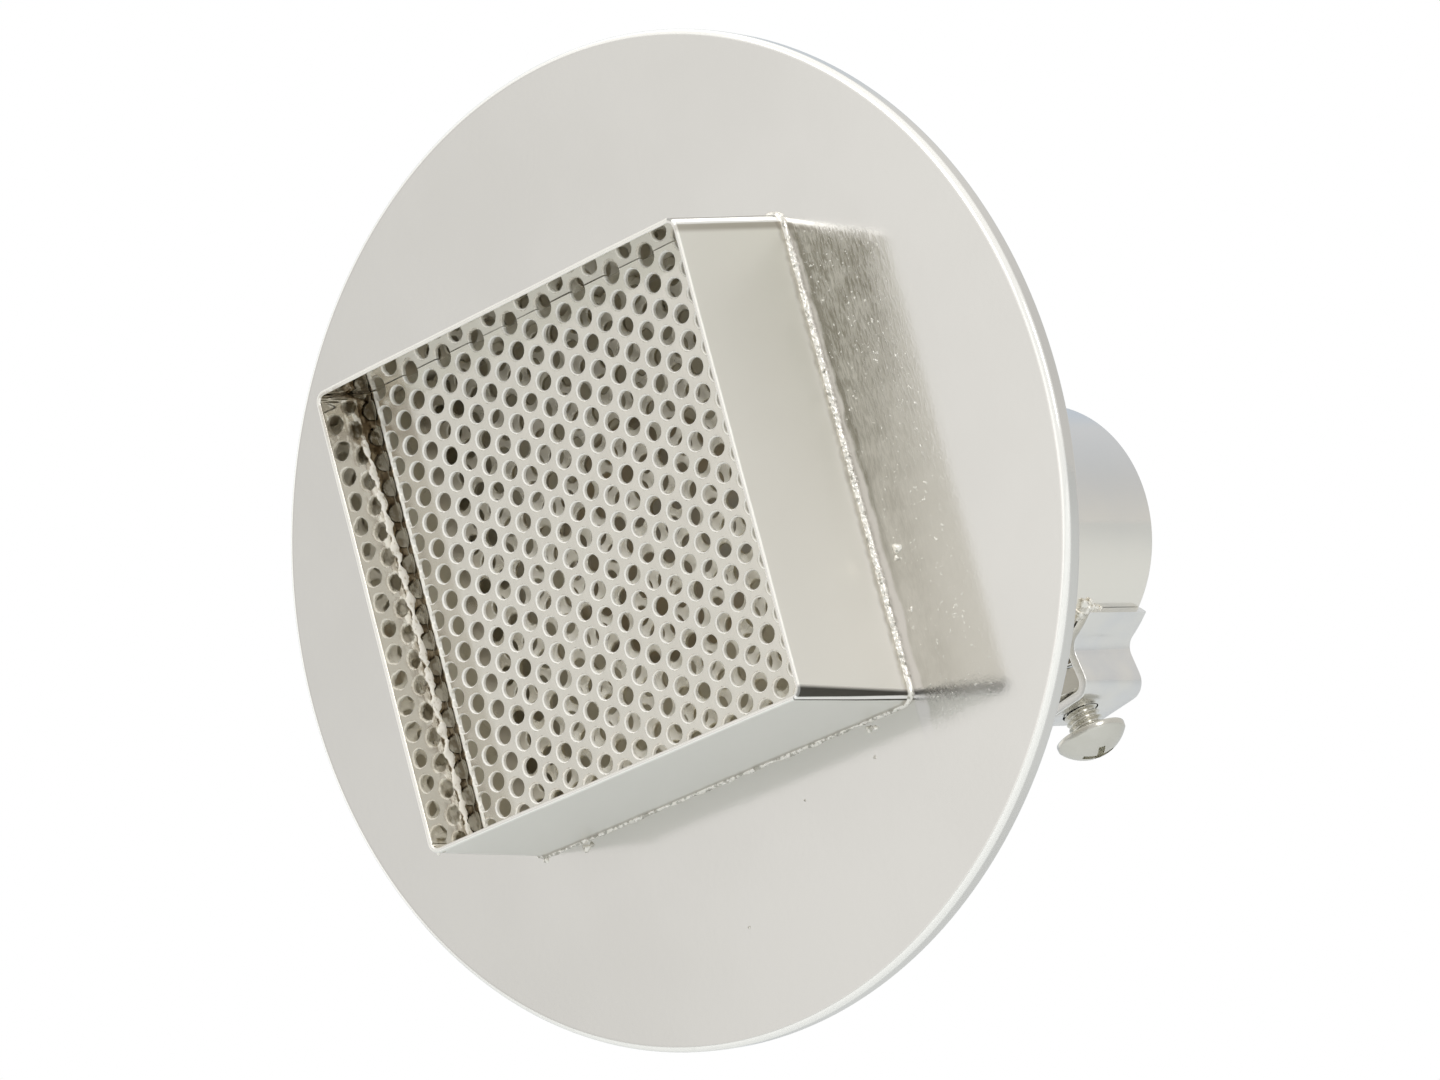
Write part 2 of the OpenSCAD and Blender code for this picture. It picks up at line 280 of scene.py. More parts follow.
# Outlet box: a square collar folded from 0.4 mm sheet with tight round corners, tapering a little to its
# mouth, whose lip is dressed smooth. It is plated with bright nickel, and the sheet waves a little, so it
# mirrors in a ragged way. The foot is brazed to the flange.
sheet_t = 0.4
fold_r, fold_steps = 1.0, 8
lip_r, lip_steps = 0.08, 5
base_w, base_h = 40.0, 39.7
mouth_w, mouth_h = 39.6, 38.3
line_twist = 43.0
box_top_painted_shade_colour = (0.865, 0.845, 0.76, 1)
box_low_painted_light_colour = (0.985, 0.95, 0.875, 1)
box_mouth_painted_shade_colour = (0.80, 0.775, 0.715, 1)
box_under_painted_shade_colour = (0.80, 0.79, 0.74, 1)
box_mirror_colour = (0.92, 0.895, 0.84, 1)
box_heat_and_reflection_colour = (0.42, 0.385, 0.32, 1)
box_brown_colour = (0.36, 0.305, 0.23, 1)
box_inside_colour = (0.88, 0.84, 0.73, 1)
fold_painted_dark_colour = (0.055, 0.05, 0.04, 1)
painted_highlight_colour = (1.0, 0.99, 0.965, 1)

low, high = span("outlet_box")
box_depth = high[1] - low[1]
side_lean = (base_w - mouth_w) / 2 / box_depth
top_lean = (base_h - mouth_h) / 2 / box_depth


def around_box(side_count):
    """The way round a rounded rectangle as four arrays: how far a point lies to the right and up, from -1 to
    1 between the corners' centres, and the cosine and sine of the direction in which the wall faces there.
    Points lie evenly along a side and closer by its ends."""
    side_steps = np.concatenate([[-1, -0.985], np.linspace(-0.95, 0.95, side_count), [0.985, 1]])
    corner_turn = np.radians(np.linspace(0, 90, fold_steps + 1)[1:-1])
    right, up, facing = [], [], []
    for side in range(4):
        turn = np.pi / 2 * side
        c, s = np.round([np.cos(turn), np.sin(turn)])
        right += [c - s * side_steps, np.full(len(corner_turn), c - s)]
        up += [s + c * side_steps, np.full(len(corner_turn), s + c)]
        facing += [np.full(len(side_steps), turn), turn + corner_turn]
    facing = np.concatenate(facing)
    return np.concatenate(right), np.concatenate(up), np.cos(facing), np.sin(facing)


def box_rings(ring, outset, height):
    """Rings round the box: each is the box's rounded rectangle at a height over the flange, moved out from
    the wall's outer face by an outset; both are arrays that end in the ring's points or in one column."""
    ring_right, ring_up, ring_cos, ring_sin = ring
    taper = height / box_depth
    half_w = (base_w + (mouth_w - base_w) * taper) / 2 - fold_r
    half_h = (base_h + (mouth_h - base_h) * taper) / 2 - fold_r
    x = half_w * ring_right + (fold_r + outset) * ring_cos
    z = half_h * ring_up + (fold_r + outset) * ring_sin
    return np.stack([x, np.broadcast_to(-plate_front - height, x.shape), z], -1)


# The waves are two sines round the box that drift with the height, and none at its foot.
wall_heights = np.linspace(0.6, box_depth - 0.6, 14)
wall_heights = np.concatenate([[0, 0.1], wall_heights, [box_depth - lip_r - 0.05]])
wall_profile = np.concatenate([
    np.stack([np.zeros(len(wall_heights)), wall_heights], 1),
    arc((-lip_r, box_depth - lip_r), lip_r, 0, 90, lip_steps),
    arc((lip_r - sheet_t, box_depth - lip_r), lip_r, 90, 180, lip_steps),
    np.stack([np.full(len(wall_heights), -sheet_t), wall_heights[::-1]], 1)])
wall_out, wall_up = wall_profile[:, :1], wall_profile[:, 1:]
ring = around_box(27)
way_round = np.linspace(0, 2 * np.pi, len(ring[0]), endpoint=False)
wave = 0.012 * np.sin(9 * way_round + 0.31 * wall_up) + 0.010 * np.sin(17 * way_round - 0.5 * wall_up + 1.3)
wave = wave * np.clip(wall_up / 2, 0, 1)
box = make_piece("outlet_box_sheet", box_rings(ring, wall_out + wave, wall_up), closed=True)

# Distances past the centres of the folds tell the outer face from the inner one.
box_metal, shader, place = new_metal("bright nickel sheet")
over_flange = -plate_front / 1000 - place.axis("Y")
across, height = place.axis("X"), place.axis("Z")
ripple = place.noise(330.0)
shimmer = place.noise(1300.0, 3.0)
past_side = abs(across) - (base_w / 2 - fold_r) / 1000 + over_flange * side_lean
past_top = height - (base_h / 2 - fold_r) / 1000 + over_flange * top_lean
past_bottom = -(base_h / 2 - fold_r) / 1000 - height + over_flange * top_lean
past_level, past_upright = past_side.larger(0.0), past_top.larger(past_bottom).larger(0.0)
outer = past_level.hypot(past_upright).ramp_mm(0.7, 0.9)
on_right = outer * across.ramp_mm(0, 1)

# Painted reflections along the two right folds: dark and bright lines, and a brown band under the top fold,
# by the angle round the fold in radians. The lower fold's lines twist with the height over the flange.
low_turn = place.math("ARCTAN2", past_bottom, past_side)
top_turn = place.math("ARCTAN2", past_top, past_side)
low_turned = low_turn - over_flange * line_twist
low_fold_painted_dark = low_turn.ramp(-0.04, 0.32) * (1 - low_turned.ramp(0.46, 0.52))
low_fold_painted_dark = on_right * (low_fold_painted_dark + low_turned.band(0.74, 0.78, 0.86, 0.92))
low_fold_painted_highlight = on_right * low_turned.band(0.50, 0.56, 0.72, 0.76)
top_fold_painted_brown = on_right * top_turn.band(-0.55, -0.15, 0.14, 0.24)
top_fold_painted_highlight = on_right * top_turn.band(0.16, 0.26, 0.70, 0.76)
top_fold_painted_dark = on_right * top_turn.band(0.72, 0.78, 1.22, 1.32)
on_painted_fold_lines = low_fold_painted_dark + low_fold_painted_highlight + top_fold_painted_highlight + top_fold_painted_dark

# Tints: at the foot by the braze, behind the front screen, along its margin and in the upper left corner.
lip_painted_highlight = over_flange.ramp_mm(12.56, 12.63)
heat = outer * (1 - (over_flange + (shimmer - 0.5) * 0.0006).ramp_mm(0.4, 1.0))
behind = (1 - outer) * (1 - over_flange.ramp_mm(6.2, 6.8))
in_mouth = (1 - outer) * (1 - behind)
by_margin = in_mouth * (1 - across.ramp_mm(-19.2, -18.0)) * (1 - over_flange.ramp_mm(8.2, 11.0))
in_corner = in_mouth * (1 - across.ramp_mm(-18.2, -16.0)) * height.ramp_mm(12.5, 16.0)
brown = by_margin * shimmer.ramp(0.42, 0.60) * 0.8 + in_corner * shimmer.ramp(0.36, 0.48) * 0.6
# Painted light and shade on the outer walls: lighter low down and darker high up, darker towards the mouth,
# and darker on the bottom wall.
side = (height + (place.noise(60.0) - 0.5) * 0.012).ramp_mm(-19, 19).mix(box_low_painted_light_colour, box_top_painted_shade_colour)
side = (over_flange.ramp_mm(0, 11.5) * 0.55).mix(side, box_mouth_painted_shade_colour)
side = past_bottom.ramp_mm(0.3, 0.8).mix(side, box_under_painted_shade_colour)
sheet = outer.mix(box_mirror_colour, side)
# The heat tint at the foot is the sheet's own; the same brown under the top fold, and the dark and bright
# fold lines, are painted reflections.
sheet = (heat * 0.7 + top_fold_painted_brown * 0.85).mix(brown.mix(sheet, box_brown_colour), box_heat_and_reflection_colour)
sheet = (low_fold_painted_dark + top_fold_painted_dark * 0.8).mix(sheet, fold_painted_dark_colour)
sheet = (top_fold_painted_highlight + low_fold_painted_highlight).mix(sheet, painted_highlight_colour)
# The lip's edge gets a thin painted highlight.
sheet = (lip_painted_highlight * 0.25).mix(sheet, painted_highlight_colour)
behind.mix(sheet, box_inside_colour).to(shader["Base Color"])
(1 - behind * 0.6 - outer * 0.6).to(shader["Metallic"])
(0.035 + ripple * 0.02 + outer * 0.26 - on_painted_fold_lines * 0.2 + behind * 0.35).to(shader["Roughness"])
(ripple * 0.7 + shimmer * (0.03 + by_margin * 0.5)).bump(1.0, 0.05).to(shader["Normal"])
box.data.materials.append(box_metal)
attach(box, "nozzle")
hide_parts("outlet_box")


# Braze round the box: silver braze run into the corner between the box and the flange, then plated over
# with the rest. It stands up as a narrow rope of grains, thinnest along the bottom, with dark grains there.
# Its reach over the plate and its rise up the wall are given for the right, left, top and bottom.
bead_reaches = np.array([0.31, 0.34, 0.30, 0.20])
bead_rises = np.array([0.30, 0.32, 0.26, 0.16])
bead_buried = 0.12
rope_depth = 0.20
braze_colour = (0.95, 0.92, 0.85, 1)
braze_dark_colour = (0.50, 0.48, 0.42, 1)


def uneven(way, seed, waves, count):
    """Uneven run along a way in radians, about -1 to 1: a sum of sines whose numbers of waves lie between a
    slowest and a fastest, with drawn phases and weights, scaled by their common size."""
    draw = np.random.default_rng(seed)
    waves = draw.integers(*waves, count)
    phase = draw.uniform(0, 2 * np.pi, count)
    weight = draw.uniform(0.5, 1.0, count)
    total = np.sum(weight[:, None] * np.sin(waves[:, None] * way + phase[:, None]), 0)
    return total / np.sqrt(np.sum(weight ** 2) / 2) / 2


def close_fillet(out, up):
    """Closes the face of a fillet, given by its distances from the two faces that it joins, with a corner
    that lies buried behind both of them."""
    buried = np.full((1, out.shape[1]), -bead_buried)
    return np.concatenate([out, buried, buried, out[:1]]), np.concatenate([up, up[-1:], buried, buried])


ring = around_box(330)
ring_cos, ring_sin = ring[2:]
way_round = np.linspace(0, 2 * np.pi, len(ring_cos), endpoint=False)
facing = np.stack([ring_cos, -ring_cos, ring_sin, -ring_sin]).clip(0, 1) ** 2
bead_size = 1 + 0.16 * uneven(way_round, 3, (6, 60), 14)
bead_size = (bead_size + 0.35 * facing[3] * uneven(way_round, 5, (12, 90), 14)).clip(0.35, 1.6)
bead_turn = np.radians(np.linspace(0, 90, 9))[:, None]
bead_lumps = np.stack([uneven(way_round, 20 + row, (150, 420), 24) for row in range(len(bead_turn))])
bead_lumps = bead_lumps + 0.5 * uneven(way_round, 6, (300, 420), 12)
rope = rope_depth * np.sin(2 * bead_turn) * bead_lumps
bead_out = bead_reaches @ facing * bead_size * (np.cos(bead_turn) + rope)
bead_up = bead_rises @ facing * bead_size * (np.sin(bead_turn) + rope)
bead_rings = box_rings(ring, *close_fillet(bead_out, bead_up))
box_bead = make_piece("box_braze_bead", bead_rings, closed=True, sharp=70)

braze_metal, shader, place = new_metal("plated braze")
grain = place.noise(2600.0, 3.0)
clump = place.noise(700.0)
under_box = 1 - place.axis("Z").ramp_mm(-20, -19)
(grain - under_box * 0.07).ramp(0.33, 0.47).mix(braze_dark_colour, braze_colour).to(shader["Base Color"])
shader["Metallic"].default_value = 0.55
(0.18 + clump * 0.2).to(shader["Roughness"])
(clump * 0.8 + grain * 0.4).bump(0.8, 0.10).to(shader["Normal"])
box_bead.data.materials.append(braze_metal)
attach(box_bead, "nozzle")
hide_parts("box_braze")


# Spatter: small lumps of the same braze that were left on the plate beside the bead, and a few on the lip at
# the lower left corner of the mouth. Each has its place across, over the plate and up, and its radius.
spatter_lumps = (
    (19.75, 0, 19.3, 0.42), (22.35, 0, -8.40, 0.42), (22.05, 0, -9.1, 0.22), (22.1, 0, -13.2, 0.20),
    (15.3, 0, -20.5, 0.30), (15.9, 0, -20.6, 0.20), (15.1, 0, -22.7, 0.14), (7.5, 0, -23.7, 0.10),
    (-14.95, 0, -20.5, 0.36), (-14.3, 0, -20.4, 0.22), (-19.3, 0, -20.1, 0.28), (-1.0, 0, -31.3, 0.13),
    (-19.2, 12.35, -19.05, 0.22), (-18.6, 12.4, -19.1, 0.16), (-19.5, 12.3, -18.5, 0.15))
spatter_rows, spatter_columns, spatter_flatness = 10, 16, 0.6


def ball(rows, columns):
    """Polar angles from the y axis and turns round it, and the points of a ball of radius 1 there."""
    polar = np.linspace(0, np.pi, rows)[:, None]
    turn = np.linspace(0, 2 * np.pi, columns, endpoint=False)[None]
    points = [np.sin(polar) * np.cos(turn), np.cos(polar) + 0 * turn, np.sin(polar) * np.sin(turn)]
    return polar, turn, np.stack(points, -1)


def lump(across, over_plate, height, radius, seed):
    """An uneven flat ball: a sphere whose radius waves with its two angles, pressed flat along the tube."""
    polar, turn, points = ball(spatter_rows, spatter_columns)
    waves = 0.18 * np.sin(3 * turn + seed) + 0.10 * np.sin(2 * turn + 4 * polar + seed)
    size = radius * (1 + np.sin(polar) * waves)[..., None]
    return [across, -plate_front - over_plate, height] + size * points * [1, spatter_flatness, 1]


spatter = [lump(*spot, 1.7 * i) for i, spot in enumerate(spatter_lumps)]
spatter = make_piece("braze_spatter", *spatter)
spatter.data.materials.append(braze_metal)
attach(spatter, "nozzle")


# Screens: two sheets of 0.4 mm steel punched with 1.5 mm holes and set across the box, 3 mm apart, to even
# out the air. The punch bevels the edge it enters. The front sheet's left margin is bent back to fit the
# box; the rear sheet lies a quarter turn round and keeps a plain border on its left.
hole_r, hole_corners = 0.75, 18
screen_t = 0.4
screen_sharp = 21
front_pitch, front_hole, front_bevel = 2.15, (0.82, -0.47), 0.12
rear_pitch, rear_hole, rear_bevel = 2.115, (-0.56, -0.77), 0.10
margin_w, margin_bend, margin_bend_r = 1.2, np.radians(32), 0.3
rear_border = 3.4
corner_cut = 0.6
screen_colour = (0.76, 0.735, 0.67, 1)
screen_cloud_colour = (0.735, 0.71, 0.645, 1)
screen_edge_highlight_colour = (1.0, 0.98, 0.925, 1)
margin_colour = (0.30, 0.255, 0.19, 1)
rear_colour = (0.95, 0.92, 0.84, 1)
rear_cloud_colour = (0.86, 0.83, 0.74, 1)
rear_shade_colour = (0.46, 0.43, 0.36, 1)


def lattice(pitch, one_hole, columns=12, rows=11):
    """Centres on a triangular grid whose columns stand upright, every other column half a pitch up."""
    column, row = np.mgrid[-columns:columns + 1, -rows:rows + 1]
    x = one_hole[0] + column * pitch * np.sin(np.pi / 3)
    y = one_hole[1] + (row + 0.5 * (column % 2)) * pitch
    return np.stack([x, y], -1).reshape(-1, 2)


def punched_sheet(name, centres, punched, pitch, bevel, turned=0.0):
    """Sheet made of six-sided cells, one round each centre, from its front face at 0 back to minus its
    thickness. A cell's outline lies half a pitch from its centre towards each neighbour, and all cells may be
    turned by an angle. A punched cell runs from the outline to the hole, over a bevel, down the hole and back
    under; a plain one is a flat face on each side. A wall from front to back closes the raw rim."""
    step = np.arange(hole_corners) * 2 * np.pi / hole_corners
    outline = pitch / 2 / np.cos(step % (np.pi / 3) - np.pi / 6)
    angle = step + turned
    hole = [np.full(hole_corners, r) for r in (hole_r + bevel, hole_r, hole_r)]
    radius = np.stack([outline, *hole, outline])
    depth = np.array([0, 0, -bevel, -screen_t, -screen_t])[:, None]
    cell = np.stack([radius * np.cos(angle), radius * np.sin(angle), np.repeat(depth, hole_corners, 1)], -1)
    points = (np.insert(centres, 2, 0, 1)[:, None, None] + cell).reshape(-1, 3)
    index = np.arange(len(points)).reshape(len(centres), len(depth), hole_corners)
    following = np.roll(index, -1, 2)
    ring = np.stack([index[:, :-1], index[:, 1:], following[:, 1:], following[:, :-1]], -1)
    faces = ring[punched].reshape(-1, 4).tolist()
    faces += index[~punched][:, 0].tolist() + index[~punched][:, -1].tolist()
    mesh = bpy.data.meshes.new(name)
    mesh.from_pydata(points, [], faces)
    work = bmesh.new()
    work.from_mesh(mesh)
    bmesh.ops.delete(work, geom=[v for v in work.verts if not v.link_faces], context="VERTS")
    bmesh.ops.remove_doubles(work, verts=work.verts, dist=1e-4)
    rim = [e for e in work.edges if e.is_boundary and min(v.co.z for v in e.verts) > -1e-4]
    for part in bmesh.ops.extrude_edge_only(work, edges=rim)["geom"]:
        if isinstance(part, bmesh.types.BMVert):
            part.co.z = -screen_t
    bmesh.ops.remove_doubles(work, verts=work.verts, dist=1e-4)
    return mesh, work


def trim(work, point, outward, keep_both=False):
    """Cuts a sheet along an upright plane, takes away what lies outwards of it and closes the cut."""
    everything = work.verts[:] + work.edges[:] + work.faces[:]
    cut = bmesh.ops.bisect_plane(work, geom=everything, dist=1e-5, plane_co=(*point, 0),
                                 plane_no=(*outward, 0), clear_outer=not keep_both)
    if not keep_both:
        edges = [e for e in cut["geom_cut"] if isinstance(e, bmesh.types.BMEdge)]
        bmesh.ops.holes_fill(work, edges=edges, sides=0)


def trim_to(work, left, right, top):
    """Trims a sheet to the inside of the box, with its corners cut off to clear the folds."""
    for point, outward in (((right, 0), (1, 0)), ((left, 0), (-1, 0)),
                           ((0, top), (0, 1)), ((0, -top), (0, -1))):
        trim(work, point, outward)
    for x, side in ((right - corner_cut, 1), (left + corner_cut, -1)):
        for up in (1, -1):
            trim(work, (x, up * top), (side, up))


def fold_back(flat, fold_x):
    """Bends what lies left of a line back round a small radius: a point keeps its distance along the sheet
    and its depth in it, first round the bend and then straight on at the bend's angle."""
    x, y, depth = flat.T
    past = np.clip(fold_x - x, 0, None)
    angle = np.minimum(past / margin_bend_r, margin_bend)
    straight = past - angle * margin_bend_r
    sine, cosine = np.sin(angle), np.cos(angle)
    bent_x = np.maximum(x, fold_x) - margin_bend_r * sine - straight * cosine - depth * sine
    bent_depth = depth * cosine - margin_bend_r * (1 - cosine) - straight * sine
    return np.stack([bent_x, y, bent_depth], 1)


def place_screen(name, mesh, work, front, bend_at=None):
    """Stands a flat sheet across the box: its x, y and depth become x, z and y, from the front face on."""
    work.to_mesh(mesh)
    work.free()
    flat = np.zeros(len(mesh.vertices) * 3)
    mesh.vertices.foreach_get("co", flat)
    flat = flat.reshape(-1, 3)
    if bend_at is not None:
        flat = fold_back(flat, bend_at)
    placed = np.stack([flat[:, 0], -front - flat[:, 2], flat[:, 1]], 1) / 1000
    mesh.vertices.foreach_set("co", placed.ravel())
    mesh.update()
    return close_mesh(name, mesh, screen_sharp)


low, high = span("front_screen")
fold_x = low[0] + margin_w
centres = lattice(front_pitch, front_hole)
all_punched = np.full(len(centres), True)
mesh, work = punched_sheet("front_screen_sheet", centres, all_punched, front_pitch, front_bevel)
trim_to(work, fold_x - margin_w / np.cos(margin_bend), high[0], high[2])
for step in np.linspace(0, margin_bend_r * margin_bend, 4):
    trim(work, (fold_x - step, 0), (1, 0), keep_both=True)
front_screen = place_screen("front_screen_sheet", mesh, work, -low[1], bend_at=fold_x)

screen_metal, shader, place = new_metal("nickel screen")
cloud = place.noise(240.0, 3.0)
depth = place.axis("Y") - low[1] / 1000
past_fold = fold_x / 1000 - place.axis("X")
by_wall = (past_fold + (place.noise(900.0) - 0.5) * 0.0002).ramp_mm(0.24, 0.32)
# Painted highlights: the holes' bevels and walls, the back face and a thin line along the bend are near white
# and dull.
painted_edge_highlight = depth.ramp_mm(0.01, 0.04).larger(past_fold.ramp_mm(-0.24, -0.18))
face = cloud.ramp(0.35, 0.65).mix(screen_cloud_colour, screen_colour)
by_wall.mix(painted_edge_highlight.mix(face, screen_edge_highlight_colour), margin_colour).to(shader["Base Color"])
(1 - painted_edge_highlight * (1 - by_wall) * 0.9).to(shader["Metallic"])
(0.12 + cloud * 0.08).to(shader["Roughness"])
(place.noise(500.0) + place.noise(2500.0) * 0.2).bump(0.4, 0.04).to(shader["Normal"])
front_screen.data.materials.append(screen_metal)
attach(front_screen, "nozzle")
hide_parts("front_screen")

low, high = span("rear_screen")
centres = lattice(rear_pitch, rear_hole)
centres = np.stack([-centres[:, 1], centres[:, 0]], 1)
punched = centres[:, 0] > low[0] + rear_border + hole_r
mesh, work = punched_sheet("rear_screen_sheet", centres, punched, rear_pitch, rear_bevel, turned=np.pi / 6)
trim_to(work, low[0], high[0], high[2])
rear_screen = place_screen("rear_screen_sheet", mesh, work, -low[1])

rear_metal, shader, place = new_metal("dull nickel screen")
cloud = place.noise(200.0, 3.0)
shaded = place.axis("Z").ramp_mm(-2, 14) * 0.75
shaded = shaded.larger((1 - place.axis("X").ramp_mm(-16.5, -14.5)) * 0.6)
face = cloud.ramp(0.35, 0.65).mix(rear_cloud_colour, rear_colour)
shaded.mix(face, rear_shade_colour).to(shader["Base Color"])
(0.22 + cloud * 0.12).to(shader["Roughness"])
place.noise(900.0).bump(0.5, 0.04).to(shader["Normal"])
rear_screen.data.materials.append(rear_metal)
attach(rear_screen, "nozzle")
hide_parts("rear_screen")


# Braze along the margin: a thin ragged run of braze on the inside of the box's left wall, just in front of
# the screen's bent margin, which it holds. It gathers at the holes' pitch and comes forward at the top.
run_top, run_low = 15.2, -18.4
run_rows, run_columns = 180, 14
run_painted_highlight_colour = (1.0, 0.96, 0.88, 1)
run_dark_colour = (0.66, 0.60, 0.49, 1)


def capped(tube):
    """A tube of rows of points with one more row at each end, which lies in its middle and so closes it."""
    middles = np.repeat(tube[[0, -1]].mean(1, keepdims=True), tube.shape[1], 1)
    return np.concatenate([middles[:1], tube, middles[1:]])


run_way = np.linspace(0, 2 * np.pi, run_rows)
run_z = np.linspace(run_top, run_low, run_rows)
run_up = 8.0 + 0.55 * np.clip((run_z - 4) / 11, 0, 1) + 0.13 * uneven(run_way, 71, (3, 40), 16)
run_gather = np.cos(2 * np.pi * (run_z - front_hole[1]) / front_pitch)
run_half = (0.36 + 0.20 * run_gather + 0.14 * uneven(run_way, 72, (10, 85), 24)).clip(0.08, 0.8)
run_half = run_half * np.sin(run_way / 2).clip(0.01, 1) ** 0.15
run_rise = (0.12 + 0.05 * uneven(run_way, 73, (8, 70), 18)).clip(0.04, 0.3)
run_turn = np.linspace(0, 2 * np.pi, run_columns, endpoint=False)
run_wall = sheet_t - base_w / 2 + side_lean * run_up
run = np.stack([run_wall[:, None] + run_rise[:, None] * np.cos(run_turn),
                -plate_front - run_up[:, None] + run_half[:, None] * np.sin(run_turn),
                np.repeat(run_z[:, None], run_columns, 1)], -1)
margin_run = make_piece("margin_braze", capped(run), sharp=60)

# The run is dull and near white: a painted reflection of the margin's bright bend, which the wall mirrors.
run_painted_highlight_braze, shader, place = new_metal("braze painted bright")
grain = place.noise(2200.0, 3.0)
grain.ramp(0.30, 0.46).mix(run_dark_colour, run_painted_highlight_colour).to(shader["Base Color"])
shader["Metallic"].default_value = 0.0
shader["Roughness"].default_value = 0.3
grain.bump(0.6, 0.06).to(shader["Normal"])
margin_run.data.materials.append(run_painted_highlight_braze)
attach(margin_run, "nozzle")


# Inlet tube: a plain steel tube, 0.4 mm thick, that slides over the heater's pipe. Its end is dressed round,
# and a hole by it lets the clamp screw through to the pipe. The heat has left a patchy tint inside.
tube_wall, tube_edge_r = 0.4, 0.15
tube_rows, tube_columns = 12, 160
screw_hole_r = 1.7
drill_columns = 40
clamp_lean = np.radians(180 + 9.5)
screw_along = 5.0
tube_colour = (0.93, 0.895, 0.825, 1)
tube_painted_cool_shade_colour = (0.70, 0.715, 0.735, 1)
tube_inside_colour = (0.60, 0.57, 0.50, 1)
tube_heat_colour = (0.70, 0.61, 0.45, 1)

low, high = span("inlet_tube")
tube_r, tube_len = high[0], high[1] - low[1]


def under_tube(points):
    """From the clamp's own axes (across, away from the tube's axis, along the tube) to the part's frame: a
    turn about the tube by half a circle and the clamp's lean."""
    across, away, along = np.moveaxis(np.asarray(points, float), -1, 0)
    x = across * np.cos(clamp_lean) - away * np.sin(clamp_lean)
    z = across * np.sin(clamp_lean) + away * np.cos(clamp_lean)
    return np.stack([x, -along, z], -1)


def on_screw(profile, columns, start):
    """Carries a profile of (radius, height) round the screw's axis, with height 0 at a start distance from
    the tube's axis; a radius may be an array over the turn."""
    turn = np.linspace(0, 2 * np.pi, columns, endpoint=False)
    radius = np.stack([np.broadcast_to(r, columns) for r, _ in profile])
    height = np.repeat(np.array([h for _, h in profile])[:, None], columns, 1)
    return under_tube(np.stack([radius * np.cos(turn), start + height,
                                screw_along - radius * np.sin(turn)], -1))


def cut_out(piece, cutter):
    """Takes a cutter's solid out of a piece, then removes the cutter and the flat slivers along the cut."""
    cut = piece.modifiers.new("cut", "BOOLEAN")
    cut.object = cutter
    cut.solver = "EXACT"
    done = bpy.data.meshes.new_from_object(piece.evaluated_get(bpy.context.evaluated_depsgraph_get()))
    piece.modifiers.clear()
    piece.data = done
    bpy.data.objects.remove(cutter)
    work = bmesh.new()
    work.from_mesh(done)
    bmesh.ops.triangulate(work, faces=[f for f in work.faces if len(f.verts) > 4])
    bmesh.ops.dissolve_degenerate(work, edges=work.edges, dist=2e-7)
    work.to_mesh(done)
    work.free()
    done.set_sharp_from_angle(angle=np.radians(40))


def drill(piece, radius, start, depth):
    """Drills a round hole along the screw's axis, from a start distance off the tube's axis."""
    rod = [(0, 0), (radius, 0), (radius, depth), (0, depth)]
    cut_out(piece, make_piece("drill", on_screw(rod, drill_columns, start)))


tube_in = tube_r - tube_wall
tube_profile = np.concatenate([
    arc((tube_in + tube_edge_r, tube_edge_r), tube_edge_r, 180, 270, 5),
    arc((tube_r - tube_edge_r, tube_edge_r), tube_edge_r, 270, 360, 5),
    np.linspace((tube_r, 2 * tube_edge_r), (tube_r, tube_len), tube_rows),
    np.linspace((tube_in, tube_len), (tube_in, 2 * tube_edge_r), tube_rows)])
tube = make_piece("inlet_tube_body", revolve(tube_profile, tube_columns), closed=True)
drill(tube, screw_hole_r, start=9, depth=6)

tube_metal, shader, place = new_metal("satin nickel tube")
cloud = place.noise(90.0, 3.0)
across, height = place.axis("X"), place.axis("Z")
bore = 1 - across.hypot(height).ramp_mm(11.2, 11.4)
# Painted shade: the outside turns darker and bluer over its upper half.
outside = (height + (cloud - 0.5) * 0.006).ramp_mm(-6, 6).mix(tube_colour, tube_painted_cool_shade_colour)
inside = cloud.ramp(0.36, 0.64).mix(tube_inside_colour, tube_heat_colour)
bore.mix(outside, inside).to(shader["Base Color"])
(1 - bore * 0.6).to(shader["Metallic"])
(0.10 + cloud * 0.08 + bore * 0.4).to(shader["Roughness"])
drawn = place.mapped((1.0, 0.06, 1.0)).noise(900.0)
(drawn * 0.5 + place.noise(1700.0) * 0.25).bump(0.4, 0.04).to(shader["Normal"])
tube.data.materials.append(tube_metal)
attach(tube, "nozzle")
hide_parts("inlet_tube")


# Braze round the tube: the same silver braze, run into the corner between the tube and the flange's back.
# It lies there as a hollow, uneven fillet.
ring_leg, ring_columns = (0.80, 0.78), 220

ring_way = np.linspace(0, 2 * np.pi, ring_columns, endpoint=False)
ring_reach = ring_leg[0] + 0.16 * uneven(ring_way, 41, (3, 40), 12)
ring_rise = ring_leg[1] + 0.16 * uneven(ring_way, 42, (3, 40), 12)
ring_turn = np.linspace(0, np.pi / 2, 11)[:, None]
ring_lumps = np.stack([uneven(ring_way, 50 + row, (14, 60), 14) for row in range(len(ring_turn))])
ring_swell = np.sin(2 * ring_turn) * (0.10 + 0.05 * ring_lumps)
ring_out = ring_reach * (1 - np.sin(ring_turn)) + ring_swell
ring_back = ring_rise * (1 - np.cos(ring_turn)) + ring_swell
ring_out, ring_back = close_fillet(ring_out, ring_back)
ring_out = tube_r + ring_out
ring_points = np.stack([ring_out * np.cos(ring_way), ring_back - plate_back, ring_out * np.sin(ring_way)], -1)
tube_bead = make_piece("tube_braze_bead", ring_points, closed=True)
tube_bead.data.materials.append(braze_metal)
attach(tube_bead, "nozzle")
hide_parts("tube_braze")


